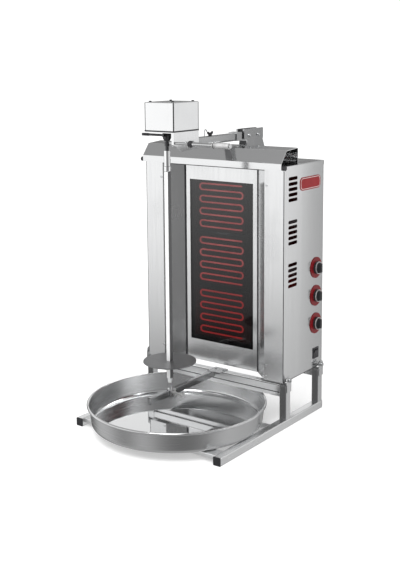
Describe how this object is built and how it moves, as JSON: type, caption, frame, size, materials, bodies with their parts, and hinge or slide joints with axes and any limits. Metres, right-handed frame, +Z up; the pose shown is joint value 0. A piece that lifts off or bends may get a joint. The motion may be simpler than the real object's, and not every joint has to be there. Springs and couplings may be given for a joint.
{
  "type": "electric skewer grill",
  "caption": "Upright electric skewer grill: a turning vertical spit over a round drip tray, in front of a steel cabinet with glowing heaters behind a glass window.",
  "frame": {"origin": "on the surface it stands on, at the middle of the footprint from tray front to cabinet back", "axes": "+Z up, +Y towards the cabinet's back, +X towards the side with the controls"},
  "size_m": [0.57, 0.705, 1.005],
  "materials": {
    "sheet_steel": "satin stainless sheet",
    "tube_steel": "ground stainless tube",
    "mirror_steel": "mirror-polished stainless sheet",
    "bright_steel": "bright turned and drawn steel",
    "zinc_steel": "zinc-plated fasteners",
    "black_plastic": "matt moulded plastic",
    "red_plastic": "gloss printed scale plate",
    "dark_glass": "tinted glass ceramic",
    "heater_metal": "red-hot oxidised tube",
    "insulation": "pressed dark insulation board",
    "gear_brass": "cut gear",
    "motor_alloy": "cast motor case"
  },
  "bodies": {
    "stand": {"floor_rails": "tube_steel", "legs": "tube_steel", "cross_members": "tube_steel", "rail_end_caps": "black_plastic", "leg_ears": "tube_steel", "ear_bolts": "zinc_steel", "front_shell": "sheet_steel", "right_side_panel": "sheet_steel", "left_side_panel": "sheet_steel", "rear_panel": "sheet_steel", "bottom_panel": "sheet_steel", "top_lid": "sheet_steel", "cabinet_screws": "zinc_steel", "cable_gland": "black_plastic", "hood": "mirror_steel", "hood_thumb_screws": "black_plastic", "glass_pane": "dark_glass", "glass_retainer": "sheet_steel", "radiant_heaters": "heater_metal", "heater_boards": "insulation", "knob_bezels": "red_plastic", "regulators": "black_plastic", "switch_frame": "black_plastic", "terminal_block": "black_plastic", "lower_arm": "tube_steel", "slide_bar": "tube_steel", "rear_bracket": "tube_steel", "bracket_bolts": "zinc_steel", "pedestal": "sheet_steel"},
    "tray": {"drip_tray": "mirror_steel"},
    "carriage": {"pivot_carriage": "tube_steel"},
    "carriage_screw": {"thumb_screw": "bright_steel"},
    "head": {"head_base": "sheet_steel", "bearing_housing": "motor_alloy", "shaft_bearings": "bright_steel", "gear_motor": "motor_alloy", "head_cover": "mirror_steel", "head_screws": "black_plastic", "handle_rod": "bright_steel", "ball_knob": "black_plastic", "arm_bolts": "zinc_steel", "upper_arm": "tube_steel", "arm_clamp": "tube_steel", "cable_hook": "bright_steel"},
    "spindle": {"drive_shaft": "bright_steel", "output_gear": "gear_brass"},
    "pinion": {"motor_pinion": "bright_steel"},
    "skewer": {"skewer_bar": "bright_steel", "skewer_collar": "bright_steel", "chuck_sleeve": "bright_steel"},
    "disc": {"meat_disc": "bright_steel"},
    "lever": {"lift_lever": "bright_steel", "lever_tip": "black_plastic"},
    "grip": {"handle_grip": "bright_steel"},
    "lock": {"lock_knob": "black_plastic"},
    "low_knob": {"lower_knob": "black_plastic"},
    "mid_knob": {"middle_knob": "black_plastic"},
    "high_knob": {"upper_knob": "black_plastic"},
    "rocker": {"rocker_button": "black_plastic"}
  },
  "joints": [
    {"name": "tray_slide", "type": "slide", "parent": "stand", "child": "tray", "axis": [0, -1, 0], "range_m": [0, 0.35]},
    {"name": "arm_slide", "type": "slide", "parent": "stand", "child": "head", "axis": [0, 1, 0], "range_m": [-0.03, 0.012]},
    {"name": "carriage_slide", "type": "slide", "parent": "stand", "child": "carriage", "axis": [0, 1, 0], "range_m": [-0.03, 0.012]},
    {"name": "carriage_screw_turn", "type": "hinge", "parent": "carriage", "child": "carriage_screw", "pos_m": [0, -0.1105, 0.127], "axis": [1, 0, 0], "range_deg": [0, 360]},
    {"name": "lock_turn", "type": "hinge", "parent": "head", "child": "lock", "pos_m": [0.038, 0.0515, 0.893], "axis": [0, 0, 1], "range_deg": [0, 360]},
    {"name": "grip_spin", "type": "hinge", "parent": "head", "child": "grip", "pos_m": [0.191, -0.1465, 0.886], "axis": [1, 0, 0], "continuous": true},
    {"name": "spindle_spin", "type": "hinge", "parent": "head", "child": "spindle", "pos_m": [0, -0.1105, 0.921], "axis": [0, 0, 1], "continuous": true},
    {"name": "pinion_spin", "type": "hinge", "parent": "head", "child": "pinion", "pos_m": [0, -0.0805, 0.921], "axis": [0, 0, 1], "continuous": true},
    {"name": "skewer_lift", "type": "slide", "parent": "spindle", "child": "skewer", "axis": [0, 0, 1], "range_m": [0, 0.012]},
    {"name": "lever_turn", "type": "hinge", "parent": "head", "child": "lever", "pos_m": [0.012, -0.1395, 0.907], "axis": [0, -1, 0], "range_deg": [0, 25.1]},
    {"name": "disc_slide", "type": "slide", "parent": "skewer", "child": "disc", "axis": [0, 0, 1], "range_m": [-0.04, 0.55]},
    {"name": "low_knob_turn", "type": "hinge", "parent": "stand", "child": "low_knob", "pos_m": [0.2632, 0.3065, 0.2885], "axis": [1, 0, 0], "range_deg": [-150, 150]},
    {"name": "mid_knob_turn", "type": "hinge", "parent": "stand", "child": "mid_knob", "pos_m": [0.2632, 0.3065, 0.3788], "axis": [1, 0, 0], "range_deg": [-150, 150]},
    {"name": "high_knob_turn", "type": "hinge", "parent": "stand", "child": "high_knob", "pos_m": [0.2632, 0.3065, 0.4691], "axis": [1, 0, 0], "range_deg": [-150, 150]},
    {"name": "rocker_tip", "type": "hinge", "parent": "stand", "child": "rocker", "pos_m": [0.2592, 0.3095, 0.19], "axis": [0, 1, 0], "range_deg": [-14, 0]}
  ],
  "couplings": [
    {"joint": "carriage_slide", "follows": "arm_slide", "ratio": 1},
    {"joint": "pinion_spin", "follows": "spindle_spin", "ratio": -2.3333},
    {"joint": "lever_turn", "follows": "skewer_lift", "rad_per_m": 36.361}
  ]
}
